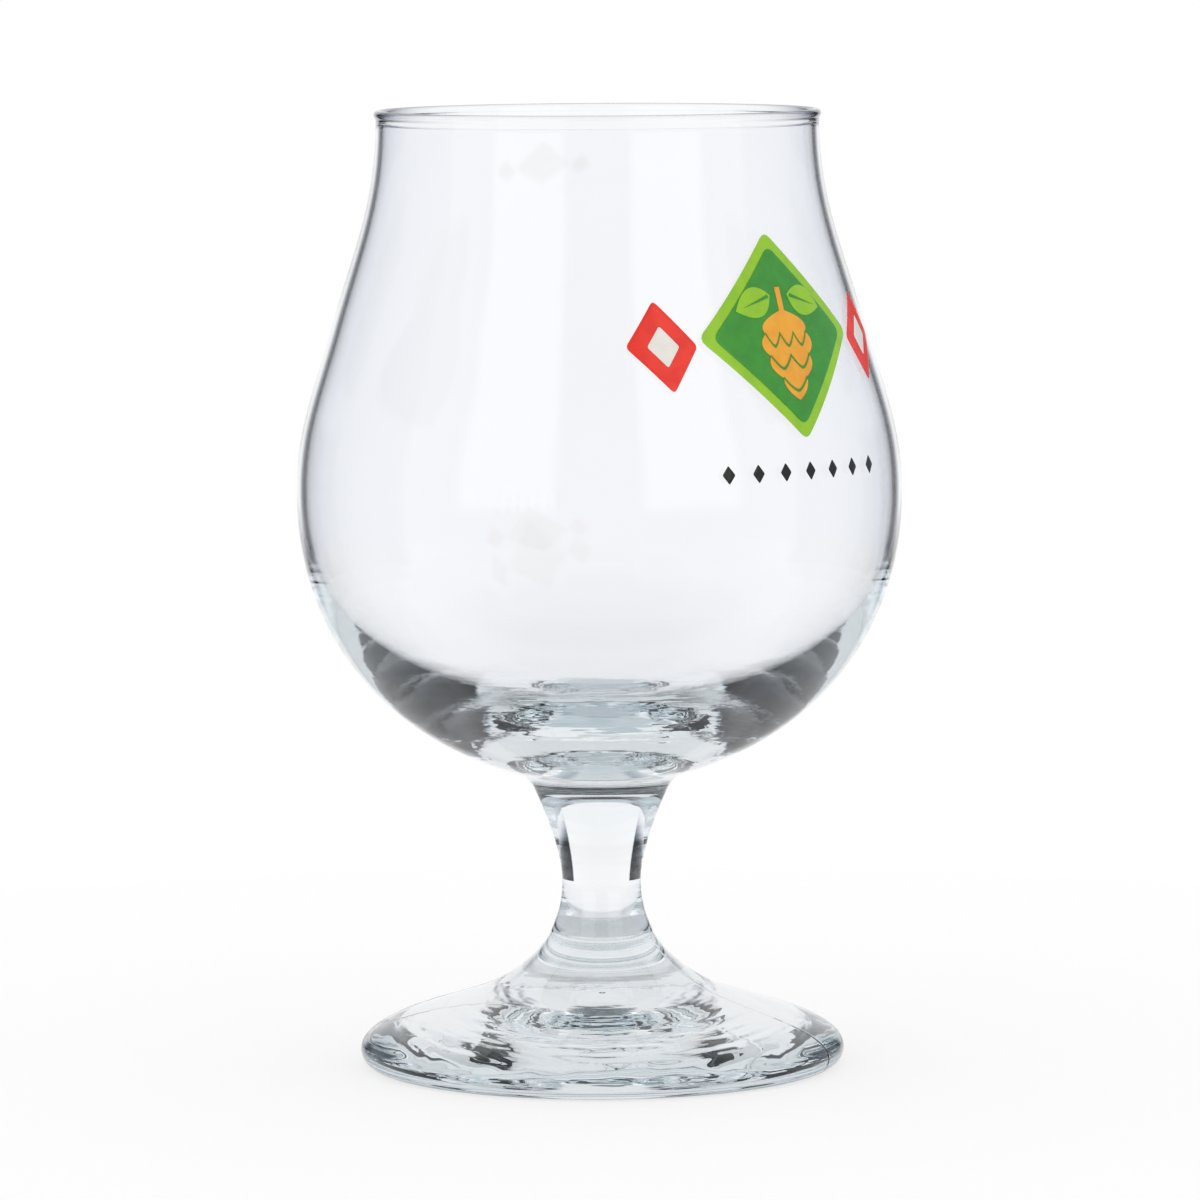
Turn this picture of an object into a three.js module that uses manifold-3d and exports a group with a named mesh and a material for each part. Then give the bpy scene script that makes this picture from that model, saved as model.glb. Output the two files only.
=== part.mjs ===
// Beer goblet: a blown tulip bowl, a pressed stem and a pressed foot, welded to each other while hot,
// with a print of fired enamel on the bowl.
// Millimetres, +Z up the axis of the glass, origin on the table under the middle of the foot.
// The front of the glass faces -Y, and the print sits to the right of it.
import * as THREE from 'three';
import { mergeVertices } from 'three/addons/utils/BufferGeometryUtils.js';
import Module from 'manifold-3d';

// Heights, stacked from the table up
const FOOT_HEIGHT = 20.3;
const STEM_LENGTH = 21.2;
const BOWL_HEIGHT = 103.5;

// Foot: flat ring, rounded edge, dome, and a neck that flares down from the stem
const FOOT_DIAMETER = 73.6;
const FOOT_EDGE_ROUNDING = 2.5;
const FOOT_RING_WIDTH = 4.6;
const FOOT_KICK = 4.5;
const FOOT_KICK_CROWN = 18;
const FOOT_KICK_SKIRT = 3;
const FOOT_DOME_PULL = 3.7;
const FOOT_TURN_DIAMETER = 39;
const FOOT_TURN_HEIGHT = 11;
const FOOT_TURN_SLOPE = 0.34;
const FOOT_TURN_PULL_OUT = 8;
const FOOT_TURN_PULL_IN = 4.5;
const FOOT_NECK_PULL = 4;

// Stem: solid glass, narrowest at the waist and flaring towards both welds
const STEM_BASE_DIAMETER = 15.5;
const STEM_BASE_PULL = 3;
const STEM_TOP_DIAMETER = 19.7;
const STEM_TOP_PULL = 5.3;
const WELD_FLARE = 0.44;
const WAIST_DIAMETER = 12;
const WAIST_HEIGHT = 7.7;
const WAIST_PULL_DOWN = 2.5;
const WAIST_PULL_UP = 3.5;

// Bowl, outside: weld fillet, heel, belly, shoulder, rim. Heights are above the weld on the stem.
const HEEL_DIAMETER = 27;
const HEEL_HEIGHT = 3.3;
const HEEL_SLOPE = 0.31;
const HEEL_PULL_IN = 2.3;
const HEEL_PULL_OUT = 20;
const HEEL_FILLET_PULL = 1.7;
const BELLY_DIAMETER = 91.5;
const BELLY_HEIGHT = 45.7;
const BELLY_PULL_DOWN = 20.7;
const BELLY_PULL_UP = 9.8;
const SHOULDER_DIAMETER = 80.2;
const SHOULDER_HEIGHT = 71.5;
const SHOULDER_TAPER = 0.29;
const SHOULDER_PULL_DOWN = 11;
const SHOULDER_PULL_UP = 12;
const RIM_DIAMETER = 66.8;
const RIM_PULL = 12.1;
const LIP_BEAD_DIAMETER = 1.4;

// Bowl, inside: an even blown wall down to the belly, then one sweep that thickens into the heel
const RIM_WALL = 1.1;
const WALL = 1.4;
const INNER_BELLY_PULL = 27.5;
const FLOOR_HEIGHT = 9.5;
const FLOOR_PULL = 20;

// Enamel print: layers of ink stacked outward from the glass, seen straight on at its azimuth
const PRINT_AZIMUTH = 43;
const PRINT_HEIGHT = 71;
const INK_THICKNESS = 0.08;
const INK_CLEARANCE = 0.03;
const INK_LAYERS = 3;
const LOZENGE_WIDTH = 30;
const LOZENGE_HEIGHT = 30.4;
const LOZENGE_CORNER = 1.4;
const LOZENGE_BORDER = 1.5;
const CONE_WIDTH = 9.6;
const CONE_LENGTH = 13;
const CONE_TOP = 3.6;
const CONE_TIERS = 4;
const CONE_SWELL_AT_STALK = 0.24;
const BRACT_BULGE = 1.3;
const BRACT_BULGE_PLACE = 0.5;
const BRACT_TUCK = 0.86;
const STALK_WIDTH = 1;
const STALK_LENGTH = 3.4;
const LEAF_LENGTH = 7;
const LEAF_WIDTH = 4.4;
const LEAF_DROOP = 18;
const LEAF_ROOT = 1.2;
const LEAF_LIFT = 2.3;
const LEAF_WIDEST_PLACE = 0.4;
const DIAMOND_OFFSET = 20;
const DIAMOND_WIDTH = 9.4;
const DIAMOND_HEIGHT = 13.4;
const DIAMOND_CORNER = 0.7;
const DIAMOND_DROP = 1;
const SPARK_WIDTH = 4.2;
const SPARK_HEIGHT = 6;
const SPARK_CORNER = 0.35;
const BEAD_COUNT = 7;
const BEAD_SPACING = 4.8;
const BEAD_WIDTH = 2;
const BEAD_HEIGHT = 2.8;
const BEAD_CORNER = 0.25;
const BEAD_DROP = 19.6;

// Facets
const SEGMENTS_AROUND = 48;
const SHORT_STEPS = 4;
const RUN_STEPS = 6;
const LONG_STEPS = 12;
const FLOOR_STEPS = 18;
const CORNER_STEPS = 3;

const wasm = await Module();
wasm.setup();

const point = (radius, height) => new THREE.Vector2(radius, height);

// A smooth run of profile points between two rings, leaving and arriving along the two pulls.
// The first ring is left out, because a run continues another one.
function run(from, leaving, arriving, to, steps) {
  const curve = new THREE.CubicBezierCurve(from, from.clone().add(leaving), to.clone().add(arriving), to);
  return curve.getPoints(steps).slice(1);
}

// Closed solid from a mesh whose corners are shared
function solidOf(geometry) {
  geometry.deleteAttribute('normal');
  geometry.deleteAttribute('uv');
  const merged = mergeVertices(geometry);
  const mesh = new wasm.Mesh({
    numProp: 3,
    vertProperties: new Float32Array(merged.attributes.position.array),
    triVerts: new Uint32Array(merged.index.array),
  });
  mesh.merge();
  return new wasm.Manifold(mesh);
}

function geometryOf(solid) {
  const { vertProperties, triVerts } = solid.getMesh();
  const geometry = new THREE.BufferGeometry();
  geometry.setAttribute('position', new THREE.BufferAttribute(new Float32Array(vertProperties), 3));
  geometry.setIndex(new THREE.BufferAttribute(new Uint32Array(triVerts), 1));
  geometry.computeVertexNormals();
  return geometry;
}

// Solid of revolution about Z, from a profile that runs out at the bottom, up the outside and back in
function turned(profile) {
  const geometry = new THREE.LatheGeometry(profile, SEGMENTS_AROUND);
  geometry.rotateX(Math.PI / 2);
  return solidOf(geometry);
}

const footRadius = FOOT_DIAMETER / 2;
const bellyRadius = BELLY_DIAMETER / 2;
const shoulderRadius = SHOULDER_DIAMETER / 2;
const rimRadius = RIM_DIAMETER / 2;
// Tangents at the welds: the stem flares out above its upper weld and below its lower one
const flareIn = (height) => point(WELD_FLARE * height, height);
const flareOut = (height) => point(-WELD_FLARE * height, height);

function footSolid() {
  const edgeCentre = point(footRadius - FOOT_EDGE_ROUNDING, FOOT_EDGE_ROUNDING);
  const edgeTop = point(footRadius, FOOT_EDGE_ROUNDING);
  const crown = point(0, FOOT_KICK);
  const ringInside = point(edgeCentre.x - FOOT_RING_WIDTH, 0);
  const edge = new THREE.EllipseCurve(
    edgeCentre.x, edgeCentre.y, FOOT_EDGE_ROUNDING, FOOT_EDGE_ROUNDING, -Math.PI / 2, 0);
  const turn = point(FOOT_TURN_DIAMETER / 2, FOOT_TURN_HEIGHT);
  const outward = (length) => point(length, -FOOT_TURN_SLOPE * length);
  const top = point(STEM_BASE_DIAMETER / 2, FOOT_HEIGHT);
  return turned([
    crown,
    ...run(crown, point(FOOT_KICK_CROWN, 0), point(-FOOT_KICK_SKIRT, 0), ringInside, LONG_STEPS),
    ...edge.getPoints(SHORT_STEPS),
    ...run(edgeTop, point(0, FOOT_DOME_PULL), outward(FOOT_TURN_PULL_OUT), turn, RUN_STEPS),
    ...run(turn, outward(-FOOT_TURN_PULL_IN), flareOut(-FOOT_NECK_PULL), top, RUN_STEPS),
    point(0, FOOT_HEIGHT),
  ]);
}

function stemSolid() {
  const base = point(STEM_BASE_DIAMETER / 2, 0);
  const waist = point(WAIST_DIAMETER / 2, WAIST_HEIGHT);
  const top = point(STEM_TOP_DIAMETER / 2, STEM_LENGTH);
  return turned([
    point(0, 0),
    base,
    ...run(base, flareOut(STEM_BASE_PULL), point(0, -WAIST_PULL_DOWN), waist, SHORT_STEPS),
    ...run(waist, point(0, WAIST_PULL_UP), flareIn(-STEM_TOP_PULL), top, RUN_STEPS),
    point(0, STEM_LENGTH),
  ]);
}

// Corner of the bowl where it sits on the stem, and the heel above it
const weld = point(STEM_TOP_DIAMETER / 2, 0);
const heel = point(HEEL_DIAMETER / 2, HEEL_HEIGHT);
const alongHeel = (length) => point(length, HEEL_SLOPE * length);

// Outside of the bowl from the heel to just under the lip bead
function bowlOutside() {
  const belly = point(bellyRadius, BELLY_HEIGHT);
  const shoulder = point(shoulderRadius, SHOULDER_HEIGHT);
  const upShoulder = (length) => point(-SHOULDER_TAPER * length, length);
  const rim = point(rimRadius, BOWL_HEIGHT - LIP_BEAD_DIAMETER);
  return [
    ...run(heel, alongHeel(HEEL_PULL_OUT), point(0, -BELLY_PULL_DOWN), belly, LONG_STEPS),
    ...run(belly, point(0, BELLY_PULL_UP), upShoulder(-SHOULDER_PULL_DOWN), shoulder, RUN_STEPS),
    ...run(shoulder, upShoulder(SHOULDER_PULL_UP), point(0, -RIM_PULL), rim, RUN_STEPS),
  ];
}

// Inside of the bowl from just under the lip bead down to the middle of the floor
function bowlInside() {
  const rim = point(rimRadius - RIM_WALL, BOWL_HEIGHT - LIP_BEAD_DIAMETER);
  const shoulder = point(shoulderRadius - WALL, SHOULDER_HEIGHT);
  const downShoulder = (length) => point(SHOULDER_TAPER * length, -length);
  const belly = point(bellyRadius - WALL, BELLY_HEIGHT);
  const floor = point(0, FLOOR_HEIGHT);
  return [
    rim,
    ...run(rim, point(0, -RIM_PULL), downShoulder(-SHOULDER_PULL_UP), shoulder, RUN_STEPS),
    ...run(shoulder, downShoulder(SHOULDER_PULL_DOWN), point(0, BELLY_PULL_UP), belly, RUN_STEPS),
    ...run(belly, point(0, -INNER_BELLY_PULL), point(FLOOR_PULL, 0), floor, FLOOR_STEPS),
  ];
}

// Fire-polished lip: a round bead on the cut edge of the wall, flush with its inside and proud of its outside
function lipBead() {
  const radius = LIP_BEAD_DIAMETER / 2;
  const wallPastMiddle = Math.min(RIM_WALL - radius, radius);
  const start = -Math.acos(wallPastMiddle / radius);
  const bead = new THREE.EllipseCurve(
    rimRadius - RIM_WALL + radius, BOWL_HEIGHT - radius, radius, radius, start, Math.PI);
  return bead.getPoints(LONG_STEPS);
}

const outside = bowlOutside();

function bowlSolid() {
  return turned([
    point(0, 0),
    weld,
    ...run(weld, flareIn(HEEL_FILLET_PULL), alongHeel(-HEEL_PULL_IN), heel, SHORT_STEPS),
    ...outside,
    ...lipBead(),
    ...bowlInside(),
  ]);
}

// Ink of one layer all round the bowl: a thin shell that follows the outside of the walls
function inkShell(layer) {
  const inner = INK_CLEARANCE + layer * (INK_CLEARANCE + INK_THICKNESS);
  const moved = (distance) => outside.map((ring, index, rings) => {
    const before = rings[Math.max(index - 1, 0)];
    const after = rings[Math.min(index + 1, rings.length - 1)];
    const along = after.clone().sub(before).normalize();
    return ring.clone().addScaledVector(point(along.y, -along.x), distance);
  });
  const outerRings = moved(inner + INK_THICKNESS);
  return turned([...outerRings, ...moved(inner).reverse(), outerRings[0]]);
}

const inkShells = Array.from({ length: INK_LAYERS }, (_, layer) => inkShell(layer));

// One patch of ink: its outline, seen straight on, cut out of the shell of its layer
function patchSolid(outline, layer) {
  const block = new THREE.ExtrudeGeometry(outline, {
    depth: BELLY_DIAMETER, bevelEnabled: false, curveSegments: CORNER_STEPS });
  block.translate(0, PRINT_HEIGHT, 0);
  block.rotateX(Math.PI / 2);
  block.rotateZ(THREE.MathUtils.degToRad(PRINT_AZIMUTH));
  return solidOf(block).intersect(inkShells[layer]);
}

// Upright diamond with softened corners
function diamond(x, y, width, height, corner) {
  const tips = [[width, 0], [0, height], [-width, 0], [0, -height]].map(
    ([across, up]) => point(x + across / 2, y + up / 2));
  const shape = new THREE.Shape();
  tips.forEach((tip, index) => {
    const before = tips[(index + 3) % 4].clone().sub(tip).setLength(corner).add(tip);
    const after = tips[(index + 1) % 4].clone().sub(tip).setLength(corner).add(tip);
    if (index === 0) shape.moveTo(before.x, before.y);
    else shape.lineTo(before.x, before.y);
    shape.quadraticCurveTo(tip.x, tip.y, after.x, after.y);
  });
  shape.closePath();
  return shape;
}

// Hop cone hanging from a short stalk, its sides scalloped by the tiers of bracts
function hopCone() {
  const swell = (tier) => CONE_SWELL_AT_STALK + (1 - CONE_SWELL_AT_STALK) * tier / CONE_TIERS;
  const halfWidth = (tier) => CONE_WIDTH / 2 * Math.sin(Math.PI * swell(tier));
  const level = (tier) => CONE_TOP - CONE_LENGTH * tier / CONE_TIERS;
  const shape = new THREE.Shape();
  shape.moveTo(STALK_WIDTH / 2, CONE_TOP + STALK_LENGTH);
  shape.lineTo(-STALK_WIDTH / 2, CONE_TOP + STALK_LENGTH);
  shape.lineTo(-STALK_WIDTH / 2, CONE_TOP);
  for (let tier = 0; tier < CONE_TIERS; tier += 1) {
    const bulge = tier + BRACT_BULGE_PLACE;
    shape.quadraticCurveTo(
      -halfWidth(bulge) - BRACT_BULGE, level(bulge), -BRACT_TUCK * halfWidth(tier + 1), level(tier + 1));
  }
  for (let tier = CONE_TIERS - 1; tier >= 0; tier -= 1) {
    const bulge = tier + BRACT_BULGE_PLACE;
    const end = tier > 0 ? BRACT_TUCK * halfWidth(tier) : STALK_WIDTH / 2;
    shape.quadraticCurveTo(halfWidth(bulge) + BRACT_BULGE, level(bulge), end, level(tier));
  }
  shape.closePath();
  return shape;
}

// Pointed leaf that springs from beside the stalk and droops outward on one side
function leaf(side) {
  const root = point(side * (STALK_WIDTH / 2 + LEAF_ROOT), CONE_TOP + LEAF_LIFT);
  const droop = THREE.MathUtils.degToRad(LEAF_DROOP);
  const place = (along, across) => point(
    root.x + side * (along * Math.cos(droop) + across * Math.sin(droop)),
    root.y - along * Math.sin(droop) + across * Math.cos(droop));
  const tip = place(LEAF_LENGTH, 0);
  const upper = place(LEAF_WIDEST_PLACE * LEAF_LENGTH, LEAF_WIDTH);
  const lower = place(LEAF_WIDEST_PLACE * LEAF_LENGTH, -LEAF_WIDTH);
  const shape = new THREE.Shape();
  shape.moveTo(root.x, root.y);
  shape.quadraticCurveTo(upper.x, upper.y, tip.x, tip.y);
  shape.quadraticCurveTo(lower.x, lower.y, root.x, root.y);
  return shape;
}

const glass = new THREE.MeshStandardMaterial({
  color: 0xeef3f3, roughness: 0.03, metalness: 0, transparent: true, opacity: 0.35 });
const ink = (color) => new THREE.MeshStandardMaterial({ color, roughness: 0.28, metalness: 0 });
const lightGreen = ink(0x96c828);
const darkGreen = ink(0x3c9632);
const gold = ink(0xf0aa32);
const red = ink(0xf0321e);
const offWhite = ink(0xebe8e1);
const black = ink(0x161616);

function piece(name, solid, material) {
  const mesh = new THREE.Mesh(geometryOf(solid), material);
  mesh.name = name;
  return mesh;
}

const stem = piece('stem', stemSolid(), glass);
stem.position.z = FOOT_HEIGHT;

const print = new THREE.Group();
const patch = (name, outline, layer, material) => {
  print.add(piece(name, patchSolid(outline, layer), material));
};
const inset = 1 - 2 * LOZENGE_BORDER * Math.hypot(1 / LOZENGE_WIDTH, 1 / LOZENGE_HEIGHT);
const lozenge = (share) => diamond(0, 0, LOZENGE_WIDTH * share, LOZENGE_HEIGHT * share, LOZENGE_CORNER);
patch('enamel_lozenge', lozenge(1), 0, lightGreen);
patch('enamel_field', lozenge(inset), 1, darkGreen);
patch('enamel_hop_cone', hopCone(), 2, gold);
for (const [place, side] of [['left', -1], ['right', 1]]) {
  const x = side * DIAMOND_OFFSET;
  const outer = diamond(x, -DIAMOND_DROP, DIAMOND_WIDTH, DIAMOND_HEIGHT, DIAMOND_CORNER);
  const inner = diamond(x, -DIAMOND_DROP, SPARK_WIDTH, SPARK_HEIGHT, SPARK_CORNER);
  patch(`enamel_leaf_${place}`, leaf(side), 2, lightGreen);
  patch(`enamel_diamond_${place}`, outer, 0, red);
  patch(`enamel_spark_${place}`, inner, 1, offWhite);
}
for (let index = 0; index < BEAD_COUNT; index += 1) {
  const x = (index - (BEAD_COUNT - 1) / 2) * BEAD_SPACING;
  patch(`enamel_bead_${index + 1}`, diamond(x, -BEAD_DROP, BEAD_WIDTH, BEAD_HEIGHT, BEAD_CORNER), 0, black);
}

// The bowl carries its print
const bowl = new THREE.Group();
bowl.position.z = FOOT_HEIGHT + STEM_LENGTH;
bowl.add(piece('bowl', bowlSolid(), glass), print);

const goblet = new THREE.Group();
goblet.name = 'beer_goblet';
goblet.add(piece('foot', footSolid(), glass), stem, bowl);

export default goblet;
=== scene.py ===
# Looks of the beer goblet: clear fire-polished glass, a print of fired enamel and a plain white studio.
# Sizes are in millimetres and angles in degrees. Heights start at the table, unless a comment says otherwise.
import math

import bpy
import numpy as np
from mathutils import Matrix, Vector, noise
from mathutils.geometry import delaunay_2d_cdt


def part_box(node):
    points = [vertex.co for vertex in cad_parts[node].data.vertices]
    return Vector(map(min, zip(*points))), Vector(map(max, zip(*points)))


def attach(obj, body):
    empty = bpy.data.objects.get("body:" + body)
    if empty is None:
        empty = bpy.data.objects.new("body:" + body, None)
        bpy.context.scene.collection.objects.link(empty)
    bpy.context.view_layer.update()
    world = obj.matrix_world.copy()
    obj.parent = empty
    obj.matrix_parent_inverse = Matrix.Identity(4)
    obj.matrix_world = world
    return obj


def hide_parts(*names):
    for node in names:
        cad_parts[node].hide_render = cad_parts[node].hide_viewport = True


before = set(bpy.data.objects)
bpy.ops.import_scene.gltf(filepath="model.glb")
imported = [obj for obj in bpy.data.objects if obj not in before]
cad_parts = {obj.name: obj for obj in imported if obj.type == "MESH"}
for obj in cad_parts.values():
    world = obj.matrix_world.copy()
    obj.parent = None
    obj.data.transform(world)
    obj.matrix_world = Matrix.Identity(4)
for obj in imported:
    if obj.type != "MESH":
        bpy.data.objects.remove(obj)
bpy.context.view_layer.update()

MM = 0.001
BODY = "root"


def in_mm(node):
    """Lowest and highest corner of a node of the frame."""
    return [np.array(corner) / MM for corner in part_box(node)]


_, FOOT_HIGH = in_mm("foot")
STEM_LOW, STEM_HIGH = in_mm("stem")
BOWL_LOW, BOWL_HIGH = in_mm("bowl")
FOOT_RADIUS = FOOT_HIGH[0]
FOOT_TOP = STEM_LOW[2]
BOWL_BASE = BOWL_LOW[2]
BOWL_TOP = BOWL_HIGH[2]
BELLY_RADIUS = BOWL_HIGH[0]
WELD_RADIUS = STEM_HIGH[0]

# Foot
FOOT_EDGE_ROUNDING = 2.5
FOOT_RING_WIDTH = 4.6
FOOT_KICK = 4.5
FOOT_KICK_CROWN = 18
FOOT_KICK_SKIRT = 3
FOOT_DOME_PULL = 3.7
FOOT_TURN_RADIUS = 19.5
FOOT_TURN_HEIGHT = 11
FOOT_TURN_SLOPE = 0.34
FOOT_TURN_PULL_OUT = 8
FOOT_TURN_PULL_IN = 4.5
FOOT_NECK_PULL = 4

# Stem
STEM_BASE_RADIUS = 7.75
STEM_BASE_PULL = 3
STEM_TOP_PULL = 5.3
WELD_FLARE = 0.44
WAIST_RADIUS = 6
WAIST_ABOVE_FOOT = 7.7
WAIST_PULL_DOWN = 2.5
WAIST_PULL_UP = 3.5

# Bowl, with heights above its weld
HEEL_RADIUS = 13.5
HEEL_HEIGHT = 3.3
HEEL_SLOPE = 0.31
HEEL_PULL_IN = 2.3
HEEL_PULL_OUT = 20
HEEL_FILLET_PULL = 1.7
BELLY_HEIGHT = 45.7
BELLY_PULL_DOWN = 20.7
BELLY_PULL_UP = 9.8
SHOULDER_RADIUS = 40.1
SHOULDER_HEIGHT = 71.5
SHOULDER_TAPER = 0.29
SHOULDER_PULL_DOWN = 11
SHOULDER_PULL_UP = 12
RIM_RADIUS = 33.4
RIM_PULL = 12.1
LIP_BEAD_RADIUS = 0.7
RIM_WALL = 1.1
WALL = 1.4
INNER_BELLY_PULL = 27.5
FLOOR_HEIGHT = 9.5
FLOOR_PULL = 20

# Sliver between two glass meshes at a weld, so that light leaves one before it enters the other
WELD_GAP = 0.02

# Fineness of the glass meshes
SEGMENTS_AROUND = 288
RUN_STEPS = 28
LONG_STEPS = 72
KICK_STEPS = 144
FLOOR_STEPS = 288
BEAD_STEPS = 24
FLAT_STEPS = 4

# Traces of making: mould seams on the foot, chill waves under it, and fine rings on the thick glass
SEAM_AZIMUTHS = (68, 248)
SEAM_HEIGHT = 0.07
SEAM_HALF_WIDTH = 0.8
SEAM_STEPS = 6
CHILL_HEIGHT = 0.04
CHILL_SPACING = 1.6
CHILL_TURNS = 1.2
CHILL_CENTRE = 3
FINE_CHILL_HEIGHT = 0.016
FINE_CHILL_SPACING = 0.7
FINE_CHILL_TURNS = 7
FINE_RING_HEIGHT = 0.004
FINE_RING_SPACING = 1.1
FINE_RING_TURNS = 5
FINE_RING_LIFT = 1.7
FINE_RINGS_BELOW = 66
FINE_RINGS_FADE = 4

# Waves on the floor of the bowl, which fade and end at these heights above it
FLOOR_WAVE_HEIGHT = 0.03
FLOOR_WAVE_LENGTH = 7
FLOOR_WAVE_FADE = 4
FLOOR_WAVE_END = 9
FLOOR_CHILL_HEIGHT = 0.016
FLOOR_CHILL_SPACING = 1.2
FLOOR_FINE_HEIGHT = 0.012

# Print, with its height above the weld of the bowl and its own places from the middle of the lozenge
PRINT_AZIMUTH = 43
PRINT_HEIGHT = 71
INK_THICKNESS = 0.08
INK_CLEARANCE = 0.03
INK_EDGE_SHARE = 0.4
INK_GRID = 0.4
CURVE_STEPS = 10
CORNER_STEPS = 4
BRACT_STEPS = 16
LOZENGE_WIDTH = 30
LOZENGE_HEIGHT = 30.4
LOZENGE_CORNER = 1.4
LOZENGE_BORDER = 1.5
CONE_WIDTH = 9.6
CONE_LENGTH = 13
CONE_TOP = 3.6
CONE_TIERS = 4
CONE_SWELL_AT_STALK = 0.24
BRACT_BULGE = 1.3
BRACT_BULGE_PLACE = 0.5
BRACT_TUCK = 0.86
BRACT_LINE = 0.42
BRACT_TIP = 1.9
BRACT_POINT = 1.5
STALK_WIDTH = 1
STALK_LENGTH = 3.4
LEAF_LENGTH = 7
LEAF_WIDTH = 4.4
LEAF_DROOP = 18
LEAF_ROOT = 1.2
LEAF_LIFT = 2.3
LEAF_WIDEST_PLACE = 0.4
VEIN_WIDTH = 0.5
VEIN_SHARE = 0.8
DIAMOND_OFFSET = 20
DIAMOND_WIDTH = 9.4
DIAMOND_HEIGHT = 13.4
DIAMOND_CORNER = 0.7
DIAMOND_DROP = 1
SPARK_WIDTH = 4.2
SPARK_HEIGHT = 6
SPARK_CORNER = 0.35
BEAD_COUNT = 7
BEAD_SPACING = 4.8
BEAD_WIDTH = 2
BEAD_HEIGHT = 2.8
BEAD_CORNER = 0.25
BEAD_DROP = 19.6

# Layers of ink, counted from the glass
FIRST_INK = 0
SECOND_INK = 1
THIRD_INK = 2
OVERPRINT_INK = 3

# Points closer than this are one, and the triangles that are kept lie inside the outline
TOUCHING = 1e-6
INSIDE_ONLY = 1

# Camera, with its place and lens found from the ellipses of the rim and the foot
CAMERA_DISTANCE = 1074.8
CAMERA_HEIGHT = 176.1
CAMERA_PITCH = 5.598
CAMERA_ROLL = -0.32
FOCAL_PIXELS = 7126.8
FRAME_PIXELS = 1200
SENSOR_WIDTH = 36
CAMERA_CLIP = 10


# Profiles of the glass

def point(radius, height):
    return np.array([radius, height], float)


def run(start, leaving, arriving, end, steps):
    """Smooth run of profile between two rings that leaves and arrives along the two pulls."""
    share = np.linspace(0, 1, steps + 1)[:, None]
    rest = 1 - share
    return (rest ** 3 * start + 3 * share * rest ** 2 * (start + leaving)
            + 3 * share ** 2 * rest * (end + arriving) + share ** 3 * end)


def arc(centre, radius, start, end, steps):
    angles = np.radians(np.linspace(start, end, steps + 1))
    return centre + radius * np.stack([np.cos(angles), np.sin(angles)], axis=1)


def flat(start, end):
    return np.linspace(start, end, FLAT_STEPS + 1)


def joined(*runs):
    """One profile from runs that each start where the last one ended."""
    return np.concatenate([runs[0]] + [points[1:] for points in runs[1:]])


def flare_in(height):
    return point(WELD_FLARE * height, height)


def flare_out(height):
    return point(-WELD_FLARE * height, height)


def foot_underside():
    crown = point(0, FOOT_KICK)
    ring_inside = point(FOOT_RADIUS - FOOT_EDGE_ROUNDING - FOOT_RING_WIDTH, 0)
    return run(crown, point(FOOT_KICK_CROWN, 0), point(-FOOT_KICK_SKIRT, 0), ring_inside, KICK_STEPS)


def foot_outside():
    edge_centre = point(FOOT_RADIUS - FOOT_EDGE_ROUNDING, FOOT_EDGE_ROUNDING)
    edge_top = point(FOOT_RADIUS, FOOT_EDGE_ROUNDING)
    ring_outside = edge_centre - point(0, FOOT_EDGE_ROUNDING)
    ring_inside = ring_outside - point(FOOT_RING_WIDTH, 0)
    turn = point(FOOT_TURN_RADIUS, FOOT_TURN_HEIGHT)
    outward = point(1, -FOOT_TURN_SLOPE)
    top = point(STEM_BASE_RADIUS, FOOT_TOP)
    return joined(
        flat(ring_inside, ring_outside),
        arc(edge_centre, FOOT_EDGE_ROUNDING, -90, 0, BEAD_STEPS),
        run(edge_top, point(0, FOOT_DOME_PULL), FOOT_TURN_PULL_OUT * outward, turn, LONG_STEPS),
        run(turn, -FOOT_TURN_PULL_IN * outward, flare_out(-FOOT_NECK_PULL), top, RUN_STEPS))


def stem_outside():
    base = point(STEM_BASE_RADIUS, FOOT_TOP + WELD_GAP)
    waist = point(WAIST_RADIUS, FOOT_TOP + WAIST_ABOVE_FOOT)
    top = point(WELD_RADIUS, BOWL_BASE - WELD_GAP)
    return joined(
        run(base, flare_out(STEM_BASE_PULL), point(0, -WAIST_PULL_DOWN), waist, RUN_STEPS),
        run(waist, point(0, WAIST_PULL_UP), flare_in(-STEM_TOP_PULL), top, RUN_STEPS))


WELD = point(WELD_RADIUS, BOWL_BASE)
HEEL = point(HEEL_RADIUS, BOWL_BASE + HEEL_HEIGHT)
ALONG_HEEL = point(1, HEEL_SLOPE)
BELLY = point(BELLY_RADIUS, BOWL_BASE + BELLY_HEIGHT)
SHOULDER = point(SHOULDER_RADIUS, BOWL_BASE + SHOULDER_HEIGHT)
UP_SHOULDER = point(-SHOULDER_TAPER, 1)
RIM = point(RIM_RADIUS, BOWL_TOP - 2 * LIP_BEAD_RADIUS)


def heel_round(steps):
    return run(HEEL, HEEL_PULL_OUT * ALONG_HEEL, point(0, -BELLY_PULL_DOWN), BELLY, steps)


def bowl_outside():
    return joined(
        run(WELD, flare_in(HEEL_FILLET_PULL), -HEEL_PULL_IN * ALONG_HEEL, HEEL, RUN_STEPS),
        heel_round(LONG_STEPS),
        run(BELLY, point(0, BELLY_PULL_UP), -SHOULDER_PULL_DOWN * UP_SHOULDER, SHOULDER, RUN_STEPS),
        run(SHOULDER, SHOULDER_PULL_UP * UP_SHOULDER, point(0, -RIM_PULL), RIM, RUN_STEPS))


def lip_bead():
    """Round bead on the cut edge of the wall, flush with its inside and proud of its outside."""
    start = -math.degrees(math.acos((RIM_WALL - LIP_BEAD_RADIUS) / LIP_BEAD_RADIUS))
    centre = point(RIM_RADIUS - RIM_WALL + LIP_BEAD_RADIUS, BOWL_TOP - LIP_BEAD_RADIUS)
    return arc(centre, LIP_BEAD_RADIUS, start, 180, BEAD_STEPS)


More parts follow.
